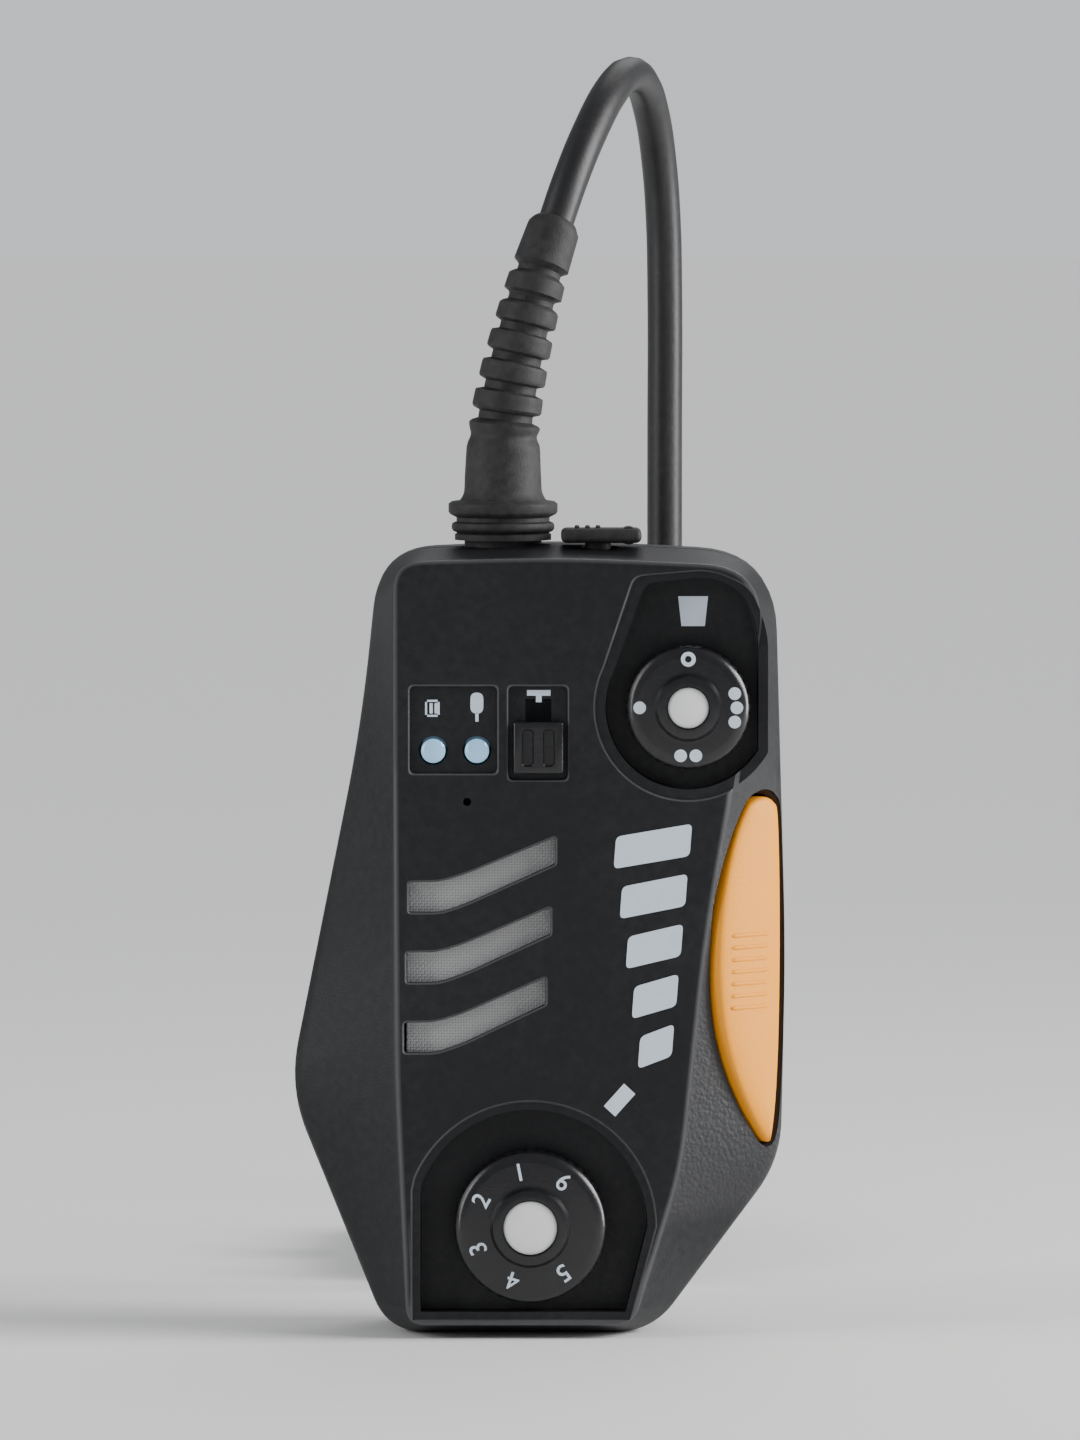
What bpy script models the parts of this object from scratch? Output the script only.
"""Strap-worn radio handset: the speaker microphone of a two-way radio transceiver.

The handset stands on its flat bottom.  +Z runs up its height, its face looks along -Y,
and +X is the side of the talk key.  Lengths are in metres.
"""

import math

import bmesh
import bpy
from mathutils import Matrix, Vector

# ---------------------------------------------------------------- driving dimensions
GAP = 0.0003              # clearance where two pieces meet
WALL = 0.0018             # housing wall

FACE_Y = -0.0160          # flat front face
FLANK_Y = -0.0070         # where the sloping flanks meet the side wall
SEAM_FRONT_Y = -0.0040    # front cover's rim
SEAM_REAR_Y = -0.0031     # rear cover's rim
BACK_Y = 0.0105           # flat back of the rear cover
TOP_Z = 0.0980

# corners of the housing: x, z and the length of rounding on each side of the corner
SIDE_OUTLINE = [
    (-0.0200, 0.0974, 0.0070),
    (-0.0222, 0.0760, 0.0100),
    (-0.0313, 0.0305, 0.0060),
    (-0.0190, 0.0000, 0.0045),
    (0.0140, 0.0000, 0.0045),
    (0.0300, 0.0215, 0.0050),
    (0.03055, 0.0480, 0.0080),
    (0.0292, 0.0970, 0.0095),
    (0.0020, 0.0984, 0.0090),
]
FACE_OUTLINE = [
    (-0.0181, 0.0964, 0.0035),
    (-0.0181, 0.0760, 0.0100),
    (-0.0178, 0.0330, 0.0060),
    (-0.0165, 0.0017, 0.0022),
    (0.0116, 0.0017, 0.0025),
    (0.0176, 0.0215, 0.0050),
    (0.0206, 0.0500, 0.0080),
    (0.0284, 0.0958, 0.0085),
    (0.0020, 0.0970, 0.0090),
]

VOLUME_X, VOLUME_Z = 0.0183, 0.0784
VOLUME_KNOB_R = 0.0077
VOLUME_WELL_R = 0.0102
CHANNEL_X, CHANNEL_Z = -0.0012, 0.0140
CHANNEL_KNOB_R = 0.0095
CHANNEL_WELL_R = 0.0145
WELL_FLOOR_Y = -0.0126    # floor of both wells
WELL_BACK_Y = -0.0108     # inner side of that floor
KNOB_TOP_Y = -0.0180
SHAFT_R = 0.0030

SPEAKER_X, SPEAKER_Z, SPEAKER_R = -0.0035, 0.0465, 0.0135
SLOT_LEFT_STEP, SLOT_RIGHT_STEP, SLOT_STEP_Z = -0.0003, -0.0006, -0.0087   # slot to slot
SLOT_COUNT = 3
LED_XS = (-0.0132, -0.0078)
LED_Z = 0.0730
LED_R = 0.0015
VOICE_X, VOICE_Z = -0.0090, 0.0667     # microphone port
SLIDER_X = -0.0002

KEY_X, KEY_Y, KEY_Z = 0.0253, -0.0113, 0.0455   # middle of the talk key, on the flank
KEY_ANGLE = math.radians(45)     # the key's outward direction, turned from +X to -Y
KEY_PROUD = 0.0013

BOARD_FRONT_Y, BOARD_BACK_Y = -0.0028, -0.0012
BOARD_POSTS = [(0.0130, 0.0340), (-0.0152, 0.0665)]
CASE_SCREWS = [(-0.0155, 0.0893), (0.0242, 0.0876), (-0.0240, 0.0273), (0.0222, 0.0195)]

GLAND_X, GLAND_Y = -0.0046, -0.0040
JACK_X, JACK_Y = 0.0072, -0.0078
COVER_HINGE_X, COVER_HINGE_Z = 0.0118, 0.0992

CLIP_PIN_Y, CLIP_PIN_Z = 0.0149, 0.0760
CLIP_HALF_WIDTH = 0.0090
CLIP_BACK_Y = 0.0180

CORD_R = 0.00225
BOOT_ROUTE = [
    (-0.0046, -0.0040, 0.1039),
    (-0.0046, -0.0040, 0.1080),
    (-0.0044, -0.0040, 0.1130),
    (-0.0034, -0.0039, 0.1190),
    (-0.0020, -0.0036, 0.1250),
    (-0.0004, -0.0029, 0.1310),
    (0.0014, -0.0016, 0.1365),
]
CORD_ROUTE = [
    (0.0016, -0.0014, 0.1371),
    (0.0038, 0.0010, 0.1435),
    (0.0064, 0.0052, 0.1498),
    (0.0089, 0.0108, 0.1545),
    (0.0110, 0.0172, 0.1566),
    (0.0128, 0.0238, 0.1558),
    (0.0142, 0.0298, 0.1520),
    (0.0152, 0.0342, 0.1458),
    (0.0158, 0.0366, 0.1380),
    (0.0160, 0.0373, 0.1290),
    (0.0160, 0.0374, 0.1100),
    (0.0160, 0.0374, 0.0850),
    (0.0160, 0.0374, 0.0600),
    (0.0160, 0.0374, 0.0400),
    (0.0159, 0.0377, 0.0300),
    (0.0156, 0.0390, 0.0210),
    (0.0150, 0.0420, 0.0130),
    (0.0143, 0.0466, 0.0074),
    (0.0136, 0.0515, 0.0044),
    (0.0131, 0.0544, 0.0037),
]
HANK_X, HANK_NEAR_Y, HANK_FAR_Y = -0.0005, 0.0500, 0.1205
HANK_HALF_WIDTH = 0.01575
HANK_BOTTOM_Z = 0.0013
HANK_LAYERS = 3
TIE_Y, TIE_WIDTH, TIE_THICKNESS = 0.0850, 0.0120, 0.0010
TAIL_ROUTE = [
    (0.0130, 0.1164, 0.01255),
    (0.0128, 0.1200, 0.01220),
    (0.0117, 0.1255, 0.01090),
    (0.0098, 0.1310, 0.00910),
    (0.0075, 0.1362, 0.00740),
    (0.0054, 0.1405, 0.00600),
    (0.0050, 0.1446, 0.00575),
]
PLUG_X, PLUG_Z = 0.0050, 0.00575
PLUG_START_Y = 0.1453

COLOURS = {
    "black_plastic": ((0.018, 0.019, 0.021), 0.55, 0.0),
    "knob_black": ((0.012, 0.012, 0.014), 0.30, 0.0),
    "white_print": ((0.85, 0.87, 0.90), 0.45, 0.0),
    "amber_plastic": ((0.90, 0.42, 0.06), 0.45, 0.0),
    "black_rubber": ((0.015, 0.015, 0.016), 0.75, 0.0),
    "grey_cloth": ((0.17, 0.17, 0.175), 0.85, 0.0),
    "clear_blue": ((0.45, 0.68, 0.85), 0.20, 0.0),
    "steel": ((0.55, 0.56, 0.58), 0.30, 1.0),
    "nickel": ((0.66, 0.63, 0.56), 0.22, 1.0),
    "board_green": ((0.02, 0.11, 0.05), 0.40, 0.0),
    "part_grey": ((0.20, 0.21, 0.22), 0.50, 0.0),
    "foam": ((0.05, 0.05, 0.055), 0.90, 0.0),
    "tie_fabric": ((0.03, 0.03, 0.033), 0.90, 0.0),
}

# ---------------------------------------------------------------- scene and materials
for old in list(bpy.data.objects):
    bpy.data.objects.remove(old, do_unlink=True)


def collection(name):
    made = bpy.data.collections.new(name)
    bpy.context.scene.collection.children.link(made)
    return made


PARTS = collection("radio_handset")
CUTTERS = collection("cutters")


def material(name):
    found = bpy.data.materials.get(name)
    if found:
        return found
    colour, roughness, metallic = COLOURS[name]
    made = bpy.data.materials.new(name)
    made.use_nodes = True
    shader = made.node_tree.nodes["Principled BSDF"]
    shader.inputs["Base Color"].default_value = (*colour, 1.0)
    shader.inputs["Roughness"].default_value = roughness
    shader.inputs["Metallic"].default_value = metallic
    made.diffuse_color = (*colour, 1.0)
    return made


# ---------------------------------------------------------------- modelling helpers
def place(name, data, finish=None, location=(0, 0, 0), rotation=(0, 0, 0)):
    """Link an object: a part when it has a finish, a hidden cutter when it has none."""
    made = bpy.data.objects.new(name, data)
    made.location = location
    made.rotation_euler = rotation
    if finish:
        data.materials.append(material(finish))
        PARTS.objects.link(made)
    else:
        CUTTERS.objects.link(made)
        made.hide_render = True
        made.display_type = "WIRE"
    return made


def smooth(obj, angle=40):
    obj.data.shade_smooth()
    obj.data.set_sharp_from_angle(angle=math.radians(angle))


def block(name, low, high, finish=None, bevel=0.0):
    """A box between two corners, its origin at its middle, with edges rounded by bevel."""
    low, high = Vector(low), Vector(high)
    shape = bmesh.new()
    bmesh.ops.create_cube(shape, size=1.0, matrix=Matrix.Diagonal((*(high - low), 1.0)))
    mesh = bpy.data.meshes.new(name)
    shape.to_mesh(mesh)
    shape.free()
    made = place(name, mesh, finish, (low + high) / 2)
    if bevel:
        edges = made.modifiers.new("edges", "BEVEL")
        edges.width = bevel
        edges.segments = 1
    return made


def drum(name, radius, start, end, finish=None, segments=16, bevel=0.0):
    """A cylinder from one point to another."""
    start, end = Vector(start), Vector(end)
    along = end - start
    shape = bmesh.new()
    bmesh.ops.create_cone(shape, cap_ends=True, segments=segments, radius1=radius,
                          radius2=radius, depth=along.length)
    mesh = bpy.data.meshes.new(name)
    shape.to_mesh(mesh)
    shape.free()
    made = place(name, mesh, finish, (start + end) / 2,
                 along.to_track_quat("Z", "Y").to_euler())
    if bevel:
        edges = made.modifiers.new("edges", "BEVEL")
        edges.width = bevel
        edges.segments = 1
        edges.limit_method = "ANGLE"
    if finish:
        smooth(made)
    return made


FRONT = (math.radians(90), 0, 0)       # a turned piece whose top faces -Y
BACKWARD = (math.radians(-90), 0, 0)   # a turned piece whose top faces +Y
UPWARD = (0, 0, 0)


def turned(name, profile, location, rotation, finish=None, steps=20, ring=False):
    """Turn a profile of (radius, height), which runs down the outer side, about its axis."""
    mesh = bpy.data.meshes.new(name)
    count = len(profile)
    edges = [(i, i + 1) for i in range(count - 1)] + ([(count - 1, 0)] if ring else [])
    mesh.from_pydata([(r, 0, h) for r, h in profile], edges, [])
    made = place(name, mesh, finish, location, rotation)
    screw = made.modifiers.new("turn", "SCREW")
    screw.steps = steps
    screw.render_steps = steps
    screw.use_merge_vertices = True
    screw.merge_threshold = 0.00001
    screw.use_smooth_shade = False
    return made


def to_mesh(curve_object, name, finish=None):
    """Turn a curve object into a mesh object with its caps welded."""
    graph = bpy.context.evaluated_depsgraph_get()
    mesh = bpy.data.meshes.new_from_object(curve_object.evaluated_get(graph))
    shape = bmesh.new()
    shape.from_mesh(mesh)
    bmesh.ops.remove_doubles(shape, verts=shape.verts, dist=0.000001)
    bmesh.ops.recalc_face_normals(shape, faces=shape.faces)
    shape.to_mesh(mesh)
    shape.free()
    mesh.name = name
    mesh.materials.clear()
    placed = curve_object.matrix_world.copy()
    data = curve_object.data
    bpy.data.objects.remove(curve_object, do_unlink=True)
    bpy.data.curves.remove(data)
    made = place(name, mesh, finish)
    made.matrix_world = placed
    return made


def slab(name, outlines, front_y, back_y, finish=None, bevel=0.0):
    """A plate with flat outlines of (x, z), the first the outside and the rest its holes."""
    curve = bpy.data.curves.new(name, "CURVE")
    curve.dimensions = "2D"
    curve.fill_mode = "BOTH"
    curve.extrude = (back_y - front_y) / 2
    for points in outlines:
        spline = curve.splines.new("POLY")
        spline.points.add(len(points) - 1)
        for vertex, (x, z) in zip(spline.points, points):
            vertex.co = (x, z, 0, 1)
        spline.use_cyclic_u = True
    drawn = bpy.data.objects.new(name + "_outline", curve)
    drawn.rotation_euler = FRONT
    drawn.location = (0, (front_y + back_y) / 2, 0)
    CUTTERS.objects.link(drawn)
    bpy.context.view_layer.update()
    made = to_mesh(drawn, name, finish)
    if bevel:
        edges = made.modifiers.new("edges", "BEVEL")
        edges.width = bevel
        edges.segments = 2
        edges.limit_method = "ANGLE"
        edges.angle_limit = math.radians(50)
    return made


def wire(name, points, radius, finish, radii=None):
    """A round cord or wire along straight pieces between points."""
    curve = bpy.data.curves.new(name, "CURVE")
    curve.dimensions = "3D"
    curve.bevel_depth = radius
    curve.bevel_resolution = 2
    curve.use_fill_caps = True
    spline = curve.splines.new("POLY")
    spline.points.add(len(points) - 1)
    for i, (vertex, point) in enumerate(zip(spline.points, points)):
        vertex.co = (*point, 1)
        vertex.radius = radii[i] / radius if radii else 1.0
    return place(name, curve, finish)


def smooth_route(route, spacing):
    """Points at about equal distances along one smooth curve through a route's points."""
    points = [Vector(p) for p in route]
    points = [2 * points[0] - points[1]] + points + [2 * points[-1] - points[-2]]
    dense = []
    for a, b, c, d in zip(points, points[1:], points[2:], points[3:]):
        for step in range(20):
            t = step / 20
            dense.append(0.5 * (2 * b + (c - a) * t + (2 * a - 5 * b + 4 * c - d) * t * t
                                + (3 * b - a - 3 * c + d) * t ** 3))
    dense.append(points[-2])
    kept = [dense[0]]
    for point in dense[1:-1]:
        if (point - kept[-1]).length >= spacing:
            kept.append(point)
    if (dense[-1] - kept[-1]).length < spacing / 2:
        kept.pop()
    return kept + [dense[-1]]


def combine(target, tool, operation):
    step = target.modifiers.new(operation.lower() + "_" + tool.name, "BOOLEAN")
    step.operation = operation
    step.object = tool
    return target


def cut(target, *tools):
    for tool in tools:
        combine(target, tool, "DIFFERENCE")
    return target


def add(target, *tools):
    for tool in tools:
        combine(target, tool, "UNION")
    return target


# ---------------------------------------------------------------- outlines
CORNER_STEPS = 4
EDGE_STEPS = 1


def rounded(corners):
    """Points of an outline: each corner (x, z, reach) is a curve that starts reach before it."""
    points = []
    spots = [Vector((x, z)) for x, z, _ in corners]
    ends = []
    for i, here in enumerate(spots):
        reach = corners[i][2]
        before = (spots[i - 1] - here).normalized()
        after = (spots[(i + 1) % len(spots)] - here).normalized()
        ends.append((here + before * reach, here + after * reach))
    for i, here in enumerate(spots):
        start, end = ends[i]
        for step in range(CORNER_STEPS + 1):
            t = step / CORNER_STEPS
            points.append(start * (1 - t) ** 2 + here * 2 * t * (1 - t) + end * t * t)
        following = ends[(i + 1) % len(spots)][0]
        for step in range(1, EDGE_STEPS):
            points.append(end.lerp(following, step / EDGE_STEPS))
    return points


def inset(points, distance):
    """The outline moved inwards by a distance (outwards if it is negative)."""
    count = len(points)
    area = sum(points[i - 1].x * p.y - p.x * points[i - 1].y for i, p in enumerate(points))
    side = 1 if area > 0 else -1
    moved = []
    for i, here in enumerate(points):
        along = (points[(i + 1) % count] - points[i - 1]).normalized()
        moved.append(here + Vector((-along.y, along.x)) * distance * side)
    return moved


SIDE = rounded(SIDE_OUTLINE)
FACE = rounded(FACE_OUTLINE)


def blend(first, second, share):
    return [a.lerp(b, share) for a, b in zip(first, second)]


def ring_arc(x, z, radius, start_deg, end_deg, steps):
    """Points on a circle about (x, z), from one angle to another, anticlockwise if it grows."""
    points = []
    for step in range(steps + 1):
        angle = math.radians(start_deg + (end_deg - start_deg) * step / steps)
        points.append((x + radius * math.cos(angle), z + radius * math.sin(angle)))
    return points


def volume_well(grow):
    """The drop-shaped well round the volume knob, open towards the top right corner."""
    side_x = 0.0270 + grow
    reach = VOLUME_WELL_R + grow
    low_angle = -math.degrees(math.acos(min(1, (side_x - VOLUME_X) / reach)))
    arc = ring_arc(VOLUME_X, VOLUME_Z, reach, low_angle, -205, 15)
    return arc + [
        (0.0130 - grow, 0.0938 + grow * 0.6),
        (0.0215, 0.0944 + grow * 0.6),
        (0.0250 + grow * 0.5, 0.0925 + grow * 0.5),
        (side_x, 0.0885),
    ]


def channel_well(grow):
    """The well round the channel knob: an arch with straight sides, flat along the bottom."""
    reach = CHANNEL_WELL_R + grow
    arc = ring_arc(CHANNEL_X, CHANNEL_Z, reach, 0, 157, 15)
    left = -0.0148 - grow
    bottom = 0.0034 - grow
    return arc + [(left, 0.0185), (left, bottom), (0.0106 + grow * 0.5, bottom)]


def speaker_slot(number):
    """One slot: level at its left end, then rising to the right."""
    left, right = SLOT_LEFT_STEP * number, SLOT_RIGHT_STEP * number
    dz = SLOT_STEP_Z * number
    low = [(-0.0162 + left, 0.0530), (-0.0122 + left, 0.0530), (-0.0088 + left, 0.0542),
           (0.0019 + right, 0.0590)]
    high = [(0.0019 + right, 0.0623), (-0.0090 + left, 0.0578), (-0.0122 + left, 0.0568),
            (-0.0162 + left, 0.0567)]
    return [(x, z + dz) for x, z in low + high]


# ---------------------------------------------------------------- housing
def loft(name, rings, finish=None):
    """A closed body through flat rings of the same number of points, each (outline, y)."""
    shape = bmesh.new()
    rows = [[shape.verts.new((p.x, y, p.y)) for p in outline] for outline, y in rings]
    for row, following in zip(rows, rows[1:]):
        for i in range(len(row)):
            j = (i + 1) % len(row)
            shape.faces.new((row[i], row[j], following[j], following[i]))
    shape.faces.new(rows[0])
    shape.faces.new(rows[-1])
    bmesh.ops.recalc_face_normals(shape, faces=shape.faces)
    mesh = bpy.data.meshes.new(name)
    shape.to_mesh(mesh)
    shape.free()
    return place(name, mesh, finish)


def key_frame():
    """The talk key's own axes: X across the flank, Y up, Z outwards."""
    outward = Vector((math.cos(KEY_ANGLE), -math.sin(KEY_ANGLE), 0))
    up = Vector((0, 0, 1))
    across = up.cross(outward)
    turn = Matrix((across, up, outward)).transposed().to_4x4()
    return Matrix.Translation((KEY_X, KEY_Y, KEY_Z)) @ turn


KEY_SHAPE = [
    (0.0246, 0.0652), (0.0256, 0.0665), (0.0272, 0.0670), (0.0284, 0.0663), (0.0289, 0.0645),
    (0.0292, 0.0560), (0.0293, 0.0455), (0.0292, 0.0360), (0.0289, 0.0290), (0.0284, 0.0245),
    (0.0279, 0.0240), (0.0270, 0.0252), (0.0253, 0.0285), (0.0234, 0.0335), (0.0221, 0.0390),
    (0.0215, 0.0450), (0.0216, 0.0510), (0.0223, 0.0570), (0.0234, 0.0620),
]


def key_slab(name, grow, low, high, finish=None, bevel=0.0):
    """A plate with the talk key's outline, grown all round, between two heights."""
    across = math.cos(math.pi / 2 - KEY_ANGLE)
    points = [Vector(((x - KEY_X) / across, z - KEY_Z)) for x, z in KEY_SHAPE]
    points = inset(points, -grow)
    curve = bpy.data.curves.new(name, "CURVE")
    curve.dimensions = "2D"
    curve.fill_mode = "BOTH"
    curve.extrude = (high - low) / 2
    spline = curve.splines.new("POLY")
    spline.points.add(len(points) - 1)
    for vertex, point in zip(spline.points, points):
        vertex.co = (point.x, point.y, 0, 1)
    spline.use_cyclic_u = True
    drawn = bpy.data.objects.new(name + "_outline", curve)
    drawn.matrix_world = key_frame() @ Matrix.Translation((0, 0, (low + high) / 2))
    CUTTERS.objects.link(drawn)
    bpy.context.view_layer.update()
    made = to_mesh(drawn, name, finish)
    if bevel:
        edges = made.modifiers.new("edges", "BEVEL")
        edges.width = bevel
        edges.segments = 3
        edges.limit_method = "ANGLE"
        edges.angle_limit = math.radians(60)
    return made


def front_cover():
    inner_face_y = FACE_Y + WALL
    cover = loft("front_cover", [
        (SIDE, SEAM_FRONT_Y),
        (SIDE, FLANK_Y),
        (blend(SIDE, FACE, 0.10), FLANK_Y - 0.0013),
        (blend(SIDE, FACE, 0.95), FACE_Y + 0.0006),
        (inset(FACE, 0.0006), FACE_Y),
    ], "black_plastic")
    cut(cover, loft("front_cavity", [
        (inset(SIDE, WALL), SEAM_FRONT_Y + 0.001),
        (inset(SIDE, WALL), FLANK_Y + 0.0006),
        (inset(FACE, 0.0010), inner_face_y),
    ]))
    pads = [
        slab("volume_pad", [volume_well(0.0012)], FACE_Y + 0.0008, WELL_BACK_Y),
        slab("channel_pad", [channel_well(0.0012)], FACE_Y + 0.0008, WELL_BACK_Y),
    ]
    for number, (x, z) in enumerate(BOARD_POSTS):
        pads.append(drum(f"post_{number}", 0.0024, (x, inner_face_y - 0.0006, z),
                         (x, BOARD_FRONT_Y - GAP, z)))
    depths = (inner_face_y - 0.0006, WELL_BACK_Y - 0.0006, -0.0088, -0.0088)
    for number, (x, z) in enumerate(CASE_SCREWS):
        pads.append(drum(f"front_boss_{number}", 0.0027, (x, depths[number], z),
                         (x, SEAM_FRONT_Y - 0.0004, z)))
    add(cover, *pads)
    tools = [
        slab("volume_cut", [volume_well(0)], FACE_Y - 0.002, WELL_FLOOR_Y),
        slab("channel_cut", [channel_well(0)], FACE_Y - 0.002, WELL_FLOOR_Y),
        drum("volume_hole", SHAFT_R + 0.0004, (VOLUME_X, -0.016, VOLUME_Z),
             (VOLUME_X, -0.008, VOLUME_Z)),
        drum("channel_hole", SHAFT_R + 0.0004, (CHANNEL_X, -0.016, CHANNEL_Z),
             (CHANNEL_X, -0.008, CHANNEL_Z)),
        block("led_recess", (-0.0161, -0.018, 0.0702), (-0.0053, FACE_Y + 0.0007, 0.0810)),
        block("slider_recess", (-0.0039, -0.018, 0.0694), (0.0034, FACE_Y + 0.0009, 0.0810)),
        block("slider_slot", (-0.0018, -0.018, 0.0706), (0.0014, -0.010, 0.0794)),
        drum("voice_port", 0.0005, (VOICE_X, -0.018, VOICE_Z), (VOICE_X, -0.012, VOICE_Z),
             segments=12),
        key_slab("key_opening", 0.00035, -0.004, 0.004),
        drum("gland_notch", 0.0052, (GLAND_X, GLAND_Y, 0.090), (GLAND_X, GLAND_Y, 0.104)),
        drum("jack_hole", 0.0026, (JACK_X, JACK_Y, 0.0945), (JACK_X, JACK_Y, 0.102)),
    ]
    for x in LED_XS:
        tools.append(drum(f"led_hole_{x}", LED_R + GAP, (x, -0.018, LED_Z),
                          (x, -0.012, LED_Z), segments=20))
    for number in range(SLOT_COUNT):
        tools.append(slab(f"speaker_slot_{number}", [speaker_slot(number)], -0.018, -0.012))
    for number, (x, z) in enumerate(BOARD_POSTS):
        tools.append(drum(f"post_hole_{number}", 0.0013, (x, -0.010, z), (x, 0, z),
                          segments=12))
    for number, (x, z) in enumerate(CASE_SCREWS):
        tools.append(drum(f"front_screw_hole_{number}", 0.0014, (x, -0.0072, z), (x, 0, z),
                          segments=12))
    return cut(cover, *tools)


def rear_cover():
    cover = loft("rear_cover", [
        (SIDE, SEAM_REAR_Y),
        (SIDE, 0.0050),
        (inset(SIDE, 0.0006), 0.0078),
        (inset(SIDE, 0.0020), 0.0097),
        (inset(SIDE, 0.0036), BACK_Y),
    ], "black_plastic")
    cut(cover, loft("rear_cavity", [
        (inset(SIDE, WALL), SEAM_REAR_Y - 0.001),
        (inset(SIDE, WALL), 0.0050),
        (inset(SIDE, 0.0036), BACK_Y - WALL),
    ]))
    pads, tools = [], []
    for number, (x, z) in enumerate(CASE_SCREWS):
        pads.append(drum(f"rear_boss_{number}", 0.0034, (x, SEAM_REAR_Y, z),
                         (x, BACK_Y - 0.0009, z)))
        tools.append(drum(f"rear_screw_hole_{number}", 0.0014, (x, -0.008, z),
                          (x, 0.012, z), segments=12))
        tools.append(drum(f"rear_head_hole_{number}", 0.0026, (x, BACK_Y - 0.0019, z),
                          (x, 0.013, z), segments=20))
    for number, x in enumerate((-0.0060, 0.0060)):
        pads.append(drum(f"clip_boss_{number}", 0.0030, (x, 0.0048, 0.0660),
                         (x, BACK_Y - 0.0011, 0.0660)))
        tools.append(drum(f"clip_screw_hole_{number}", 0.0014, (x, 0.0065, 0.0660),
                          (x, 0.013, 0.0660), segments=12))
    add(cover, *pads)
    tools.append(drum("gland_notch_rear", 0.0052, (GLAND_X, GLAND_Y, 0.090),
                      (GLAND_X, GLAND_Y, 0.104)))
    return cut(cover, *tools)


def housing_gasket():
    outer, inner = inset(SIDE, 0.0004), inset(SIDE, 0.0015)
    gasket = slab("housing_gasket", [[tuple(p) for p in outer], [tuple(p) for p in inner]],
                  SEAM_FRONT_Y + GAP, SEAM_REAR_Y - GAP, "black_rubber")
    notch = drum("gasket_notch", 0.0052, (GLAND_X, GLAND_Y, 0.090), (GLAND_X, GLAND_Y, 0.104))
    return cut(gasket, notch)


def case_screws():
    for number, (x, z) in enumerate(CASE_SCREWS):
        head_y = BACK_Y - 0.0003
        profile = [(0, 0), (0.0021, -0.0002), (0.0021, -0.0013), (0.0011, -0.0013),
                   (0.0011, -0.0150), (0.0006, -0.0160), (0, -0.0160)]
        screw = turned(f"case_screw_{number + 1}", profile, (x, head_y, z), BACKWARD,
                       "steel", steps=12)
        cut(screw, block(f"driver_slot_{number}", (x - 0.0015, head_y - 0.0006, z - 0.0003),
                         (x + 0.0015, head_y + 0.001, z + 0.0003)))


# ---------------------------------------------------------------- knobs and their controls
def knob(name, radius, hub, x, z):
    """A turned knob with a raised hub, a seat for its cap and a bore for its shaft."""
    height = WELL_FLOOR_Y - GAP - KNOB_TOP_Y
    seat = hub - 0.0012
    profile = [
        (0, height - 0.0008),
        (seat, height - 0.0008),
        (seat, height),
        (hub - 0.0003, height),
        (hub, height - 0.0004),
        (hub + 0.0003, height - 0.0009),
        (radius - 0.0012, height - 0.0009),
        (radius - 0.0003, height - 0.0014),
        (radius, height - 0.0024),
        (radius, 0.0003),
        (radius - 0.0003, 0),
        (SHAFT_R + GAP, 0),
        (SHAFT_R + GAP, height - 0.0021),
        (0, height - 0.0021),
    ]
    made = turned(name, profile, (x, WELL_FLOOR_Y - GAP, z), FRONT, "knob_black", steps=24)
    cap_r = seat - GAP
    turned(name + "_cap", [(0, 0.0006), (cap_r - 0.0002, 0.0006), (cap_r, 0.0004), (cap_r, 0.0),
                           (0, 0)],
           (x, KNOB_TOP_Y + 0.0006, z), FRONT, "white_print", steps=20)
    return made


def control(name, x, z, side, body_name):
    """A board-mounted control: its square body with a turning shaft and a ring seal."""
    shaft_start = KNOB_TOP_Y + 0.0021 + GAP
    body_front = -0.0086
    body = block(body_name, (x - side / 2, body_front, z - side / 2),
                 (x + side / 2, BOARD_FRONT_Y - GAP, z + side / 2), "part_grey")
    cut(body, drum(name + "_seat", SHAFT_R + GAP, (x, body_front - 0.002, z),
                   (x, body_front + 0.0026, z)))
    drum(name + "_shaft", SHAFT_R, (x, shaft_start, z), (x, body_front + 0.0023, z),
         "steel", bevel=0.0003)
    seal = [(SHAFT_R + GAP, 0.0), (SHAFT_R + GAP, 0.0012), (SHAFT_R + 0.0009, 0.0014),
            (SHAFT_R + 0.0018, 0.0012), (SHAFT_R + 0.0018, 0.0)]
    turned(name + "_seal", seal, (x, -0.0090, z), FRONT, "black_rubber", steps=20, ring=True)


def knobs():
    knob("volume_knob", VOLUME_KNOB_R, 0.0039, VOLUME_X, VOLUME_Z)
    knob("channel_knob", CHANNEL_KNOB_R, 0.0047, CHANNEL_X, CHANNEL_Z)
    control("volume", VOLUME_X, VOLUME_Z, 0.0110, "volume_control")
    control("channel", CHANNEL_X, CHANNEL_Z, 0.0130, "channel_switch")


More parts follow.
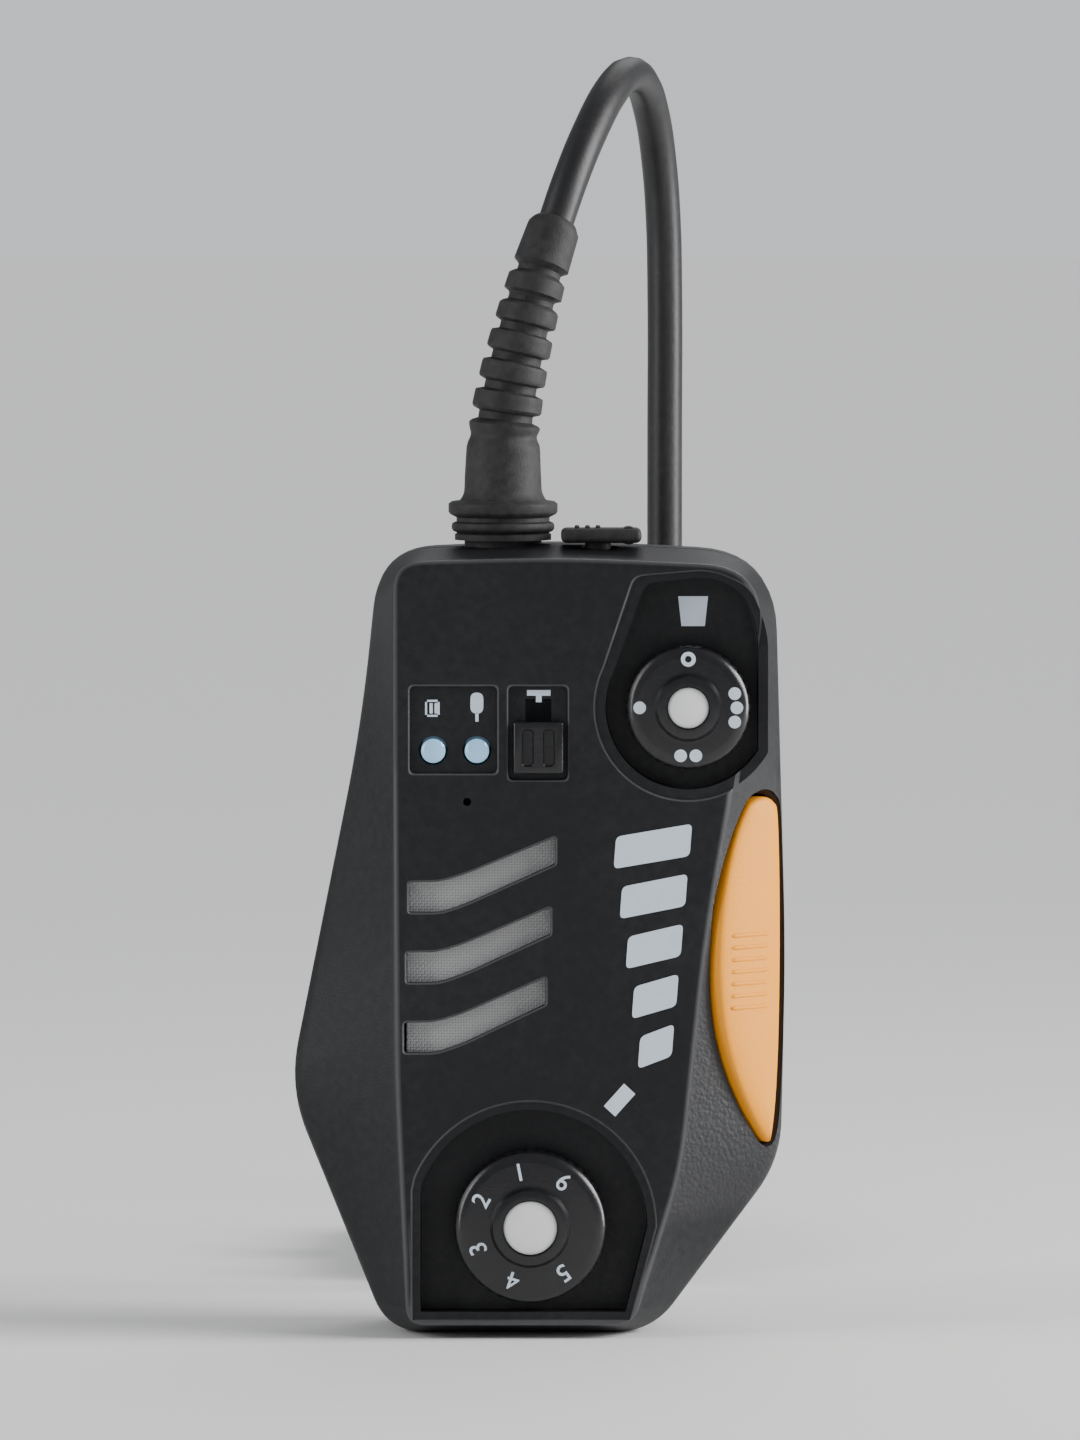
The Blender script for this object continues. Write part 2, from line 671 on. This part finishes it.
# ---------------------------------------------------------------- speaker and microphone
def speaker():
    sheet = [(-0.0165, 0.0345), (0.0030, 0.0345), (0.0030, 0.0631), (-0.0165, 0.0631)]
    slab("speaker_mesh", [sheet], FACE_Y + WALL + GAP, FACE_Y + WALL + 0.0007, "grey_cloth")
    centre = (SPEAKER_X, 0, SPEAKER_Z)
    start = -FACE_Y - WALL - 0.0010        # height of the gasket's front face
    r = SPEAKER_R
    turned("speaker_gasket", [(r - 0.0016, start - 0.0008), (r - 0.0016, start), (r, start),
                              (r, start - 0.0008)], centre, FRONT, "foam", ring=True)
    frame_top = start - 0.0008 - GAP
    turned("speaker_frame", [
        (r - 0.0014, frame_top), (r, frame_top), (r, frame_top - 0.0010),
        (r - 0.0008, frame_top - 0.0030), (0.0066, frame_top - 0.0038),
        (0.0066, frame_top - 0.0030), (r - 0.0018, frame_top - 0.0022),
        (r - 0.0022, frame_top - 0.0008)], centre, FRONT, "part_grey", ring=True)
    turned("speaker_cone", [
        (0, frame_top - 0.0006), (0.0030, frame_top - 0.0008), (0.0045, frame_top - 0.0016),
        (0.0080, frame_top - 0.0008), (r - 0.0026, frame_top - 0.0002),
        (r - 0.0026, frame_top - 0.0005), (0.0080, frame_top - 0.0011),
        (0.0045, frame_top - 0.0020), (0.0030, frame_top - 0.0012), (0, frame_top - 0.0010)],
        centre, FRONT, "foam")
    turned("speaker_magnet", [
        (0, frame_top - 0.0026), (0.0060, frame_top - 0.0026), (0.0062, frame_top - 0.0028),
        (0.0062, frame_top - 0.0062), (0.0058, frame_top - 0.0066), (0, frame_top - 0.0066)],
        centre, FRONT, "steel")


def microphone():
    x, z = VOICE_X, VOICE_Z
    turned("microphone_boot", [(0.0024, 0), (0.0024, 0.0030), (0.0031, 0.0030), (0.0031, 0)],
           (x, -0.0109, z), FRONT, "black_rubber", steps=24, ring=True)
    drum("microphone_capsule", 0.0021, (x, -0.0136, z), (x, -0.0106, z), "nickel",
         segments=16, bevel=0.0002)


# ---------------------------------------------------------------- lights and lock slider
def lights():
    for side, x in zip(("left", "right"), LED_XS):
        drum("light_pipe_" + side, LED_R, (x, FACE_Y + 0.0003, LED_Z), (x, -0.0044, LED_Z),
             "clear_blue", segments=16, bevel=0.0003)
        block("led_" + side, (x - 0.0010, -0.0041, LED_Z - 0.0008),
              (x + 0.0010, BOARD_FRONT_Y - GAP, LED_Z + 0.0008), "white_print")


def lock_slider():
    x, low = SLIDER_X, 0.0702
    cap = block("lock_slider", (x - 0.0031, FACE_Y - 0.0006, low),
                (x + 0.0031, FACE_Y + 0.0006, low + 0.0064), "knob_black", bevel=0.0003)
    add(cap, block("slider_stem", (x - 0.0011, FACE_Y + 0.0002, low + 0.0018),
                   (x + 0.0011, -0.0083, low + 0.0040)))
    for number, groove_x in enumerate((x - 0.0012, x + 0.0012)):
        cut(cap, block(f"slider_groove_{number}", (groove_x - 0.0004, -0.018, low + 0.0010),
                       (groove_x + 0.0004, FACE_Y - 0.0001, low + 0.0054)))
    block("lock_switch", (x - 0.0040, -0.0080, 0.0695), (x + 0.0040, BOARD_FRONT_Y - GAP, 0.0790),
          "part_grey")


# ---------------------------------------------------------------- talk key
def talk_key():
    key_slab("talk_key", 0, -0.0016, KEY_PROUD, "amber_plastic", bevel=0.0006)
    frame = key_frame()

    def at(u, v, n):
        return frame @ Vector((u, v, n))

    seal = block("talk_key_seal", (-0.0042, -0.0150, -0.0004), (0.0042, 0.0150, 0.0004),
                 "black_rubber", bevel=0.0002)
    seal.matrix_world = frame @ Matrix.Translation((0, 0, -0.0036))
    drum("talk_switch_plunger", 0.0016, at(-0.0006, 0, -0.0043), at(-0.0006, 0, -0.0051),
         "knob_black", segments=20)
    body = block("talk_switch", (-0.0030, -0.0030, -0.0018), (0.0030, 0.0030, 0.0018), "part_grey")
    body.matrix_world = frame @ Matrix.Translation((-0.0006, 0, -0.0072))


# ---------------------------------------------------------------- board
def main_board():
    outline = [tuple(p) for p in inset(SIDE, 0.0032)]
    board = slab("main_board", [outline], BOARD_FRONT_Y, BOARD_BACK_Y, "board_green")
    for number, (x, z) in enumerate(CASE_SCREWS):
        cut(board, drum(f"board_notch_{number}", 0.0038, (x, -0.004, z), (x, 0, z)))
    for number, (x, z) in enumerate(BOARD_POSTS):
        cut(board, drum(f"board_hole_{number}", 0.0013, (x, -0.004, z), (x, 0, z), segments=12))
        turned(f"board_screw_{number + 1}", [
            (0, 0.0012), (0.0014, 0.0010), (0.0020, 0.0004), (0.0020, 0), (0.0010, 0),
            (0.0010, -0.0080), (0, -0.0080)], (x, BOARD_BACK_Y + GAP, z), BACKWARD, "steel",
            steps=12)
    cut(board, block("board_gland_notch", (-0.0300, -0.004, 0.0850), (0.0022, 0, 0.0990)))
    block("board_chip", (-0.0060, BOARD_BACK_Y + GAP, 0.0360), (0.0040, 0.0007, 0.0460),
          "knob_black", bevel=0.0002)
    block("lead_header", (-0.0110, BOARD_BACK_Y + GAP, 0.0745), (-0.0010, 0.0040, 0.0790),
          "white_print", bevel=0.0002)


# ---------------------------------------------------------------- cable entry, jack and cord
def cable_entry():
    turned("cable_gland", [
        (0, 0.1036), (0.0062, 0.1036), (0.0068, 0.1033), (0.0068, 0.1020), (0.0063, 0.1017),
        (0.0058, 0.1015), (0.0060, 0.1009), (0.0060, 0.1003), (0.0056, 0.0999),
        (0.0060, 0.0995), (0.0060, 0.0987), (0.0048, 0.0987), (0.0048, 0.0955),
        (0.0062, 0.0955), (0.0062, 0.0925), (0.0048, 0.0925), (0.0048, 0.0900), (0, 0.0900)],
        (GLAND_X, GLAND_Y, 0), UPWARD, "black_rubber")
    route = smooth_route(BOOT_ROUTE, 0.0008)
    bottom, top = route[0].z, route[-1].z
    radii = []
    for point in route:
        rise = point.z - bottom
        share = rise / (top - bottom)
        core = 0.0045 - 0.0016 * share
        ribbed = rise > 0.0088 and share < 0.97
        wave = 0.5 + 0.5 * math.cos(2 * math.pi * (rise - 0.0088) / 0.0056)
        radii.append(core + (0.0009 * (wave - 0.6) if ribbed else 0))
    wire("cable_boot", route, 0.0045, "black_rubber", radii)
    wire("inner_lead", smooth_route([(GLAND_X, GLAND_Y, 0.0890), (-0.0047, -0.0034, 0.0882),
                                     (-0.0049, -0.0014, 0.0872), (-0.0052, 0.0006, 0.0860),
                                     (-0.0056, 0.0014, 0.0835), (-0.0060, 0.0015, 0.0796)],
                                    0.0015), 0.0012, "black_rubber")


def earphone_port():
    jack = block("earphone_jack", (JACK_X - 0.0030, JACK_Y - 0.0028, 0.0840),
                 (JACK_X + 0.0030, JACK_Y + 0.0032, 0.0948), "part_grey")
    cut(jack, drum("jack_bore", 0.0018, (JACK_X, JACK_Y, 0.0865), (JACK_X, JACK_Y, 0.099),
                   segments=24))
    low, high = TOP_Z + 0.0005, TOP_Z + 0.0026
    cover = block("port_cover", (0.0026, JACK_Y - 0.0034, low), (0.0126, JACK_Y + 0.0030, high),
                  "black_rubber", bevel=0.0008)
    add(cover, drum("cover_stub", 0.0016, (JACK_X, JACK_Y, 0.0965), (JACK_X, JACK_Y, 0.0992),
                    segments=20))
    cover.data.transform(Matrix.Translation(cover.location - Vector(
        (COVER_HINGE_X, JACK_Y, COVER_HINGE_Z))))
    cover.location = (COVER_HINGE_X, JACK_Y, COVER_HINGE_Z)


def hank_outline(grow):
    """A long loop with round ends, lying on the surface, as (x, y)."""
    r = HANK_HALF_WIDTH + grow
    near, far = HANK_NEAR_Y + HANK_HALF_WIDTH, HANK_FAR_Y - HANK_HALF_WIDTH
    return ring_arc(HANK_X, far, r, 0, 180, 16) + ring_arc(HANK_X, near, r, 180, 360, 16)


def cord():
    wire("cable", smooth_route(CORD_ROUTE, 0.0055), CORD_R, "black_rubber")
    wire("cable_tail", smooth_route(TAIL_ROUTE, 0.0060), CORD_R, "black_rubber")
    height = 2 * CORD_R * HANK_LAYERS
    hank = slab("cable_hank", [hank_outline(0)], 0, height, "black_rubber")
    hank.matrix_world = Matrix.Translation((0, 0, HANK_BOTTOM_Z + height / 2))
    reach, top = HANK_HALF_WIDTH + GAP, HANK_BOTTOM_Z + height + GAP
    tie = block("hank_tie", (HANK_X - reach - TIE_THICKNESS, TIE_Y - TIE_WIDTH / 2, 0),
                (HANK_X + reach + TIE_THICKNESS, TIE_Y + TIE_WIDTH / 2, top + TIE_THICKNESS),
                "tie_fabric", bevel=0.0006)
    cut(tie, block("tie_inside", (HANK_X - reach, TIE_Y - TIE_WIDTH, TIE_THICKNESS),
                   (HANK_X + reach, TIE_Y + TIE_WIDTH, top)))


def plug():
    start = (PLUG_X, PLUG_START_Y, PLUG_Z)
    turned("plug_body", [
        (0, 0.0235), (0.0046, 0.0235), (0.0051, 0.0230), (0.0051, 0.0110), (0.0046, 0.0092),
        (0.0036, 0.0078), (0.0030, 0.0074), (0.0036, 0.0068), (0.0036, 0.0056),
        (0.0029, 0.0050), (0.0035, 0.0044), (0.0035, 0.0032), (0.0028, 0.0026),
        (0.0031, 0.0020), (0.0028, 0), (0, 0)], start, BACKWARD, "black_rubber", steps=16)
    ring_start = 0.0235 + GAP
    turned("plug_ring", [
        (0.0033, ring_start + 0.0065), (0.0049, ring_start + 0.0065), (0.00575, ring_start + 0.0057),
        (0.00575, ring_start + 0.0008), (0.0050, ring_start), (0.0033, ring_start)],
        start, BACKWARD, "knob_black", steps=20, ring=True)
    turned("plug_tip", [
        (0, 0.0412), (0.0006, 0.0410), (0.0016, 0.0398), (0.0012, 0.0385), (0.00175, 0.0378),
        (0.00175, 0.0352), (0.0014, 0.0350), (0.0014, 0.0344), (0.00175, 0.0342),
        (0.00175, 0.0315), (0.0028, 0.0313), (0.0028, ring_start), (0, ring_start)],
        start, BACKWARD, "nickel", steps=14)


# ---------------------------------------------------------------- belt clip
def strap_clip():
    y, z = CLIP_PIN_Y, CLIP_PIN_Z
    half = CLIP_HALF_WIDTH
    base_y = BACK_Y + GAP
    base = block("clip_base", (-half - 0.0012, base_y, 0.0605), (half + 0.0012, base_y + 0.0014, 0.0800),
                 "black_plastic")
    for side in (-1, 1):
        ear_x = side * (half - 0.0006)
        ear = block(f"clip_ear_{side}", (ear_x - 0.0010, base_y + 0.0004, z - 0.0032),
                    (ear_x + 0.0010, y + 0.0002, z + 0.0032))
        knuckle = drum(f"clip_ear_round_{side}", 0.0026, (ear_x - 0.0010, y, z),
                       (ear_x + 0.0010, y, z))
        add(base, ear, knuckle)
        cut(base, drum(f"clip_head_seat_{side}", 0.0014, (side * 0.0060, 0.010, 0.0660),
                       (side * 0.0060, 0.014, 0.0660), segments=12))
    cut(base, drum("clip_ear_bore", 0.0014, (-0.02, y, z), (0.02, y, z), segments=20))
    drum("clip_pin", 0.0011, (-half - 0.0008, y, z), (half + 0.0008, y, z), "steel",
         segments=16, bevel=0.0002)
    for number, x in enumerate((-0.0060, 0.0060)):
        turned(f"clip_screw_{number + 1}", [
            (0, 0.0008), (0.0016, 0.0006), (0.0021, 0.0001), (0.0021, 0), (0.0010, 0),
            (0.0010, -0.0050), (0, -0.0050)], (x, base_y + 0.0017, 0.0660), BACKWARD, "steel",
            steps=12)
    arm = block("clip_arm", (-half, CLIP_BACK_Y - 0.0024, 0.0290), (half, CLIP_BACK_Y, 0.0850),
                "black_plastic", bevel=0.0006)
    tooth = block("clip_tooth", (-half, BACK_Y + 0.0006, 0.0290), (half, CLIP_BACK_Y - 0.0012, 0.0318))
    add(arm, tooth)
    inner = half - 0.0019
    for side in (-1, 1):
        low_x, high_x = sorted((side * 0.0040, side * inner))
        add(arm, block(f"clip_lug_{side}", (low_x, y, z - 0.0024),
                       (high_x, CLIP_BACK_Y - 0.0010, z + 0.0024)),
            drum(f"clip_lug_round_{side}", 0.0024, (low_x, y, z), (high_x, y, z)))
    cut(arm, drum("clip_arm_bore", 0.0014, (-0.02, y, z), (0.02, y, z), segments=20))
    for side in (-1, 1):
        low_x, high_x = sorted((side * (inner + GAP * 0.2), side * 0.02))
        cut(arm, block(f"clip_ear_room_{side}", (low_x, 0.0100, z - 0.0042),
                       (high_x, y + 0.0036, z + 0.0042)))
    cut(arm, block("clip_spring_room", (-0.0038, 0.0100, z - 0.0026), (0.0038, y + 0.0024, z + 0.0026)))
    arm.data.transform(Matrix.Translation(arm.location - Vector((0, y, z))))
    arm.location = (0, y, z)
    spring_points = []
    turns, steps, radius = 4, 8, 0.0018
    for step in range(turns * steps + 1):
        angle = 2 * math.pi * step / steps
        spring_points.append((-0.0030 + 0.0060 * step / (turns * steps),
                              y + radius * math.cos(angle), z + radius * math.sin(angle)))
    wire("clip_spring", spring_points, 0.0003, "steel")


front_cover()
rear_cover()
housing_gasket()
case_screws()
knobs()
speaker()
microphone()
lights()
lock_slider()
talk_key()
main_board()
cable_entry()
earphone_port()
cord()
plug()
strap_clip()
bpy.context.view_layer.update()
print(len(PARTS.objects), "parts")
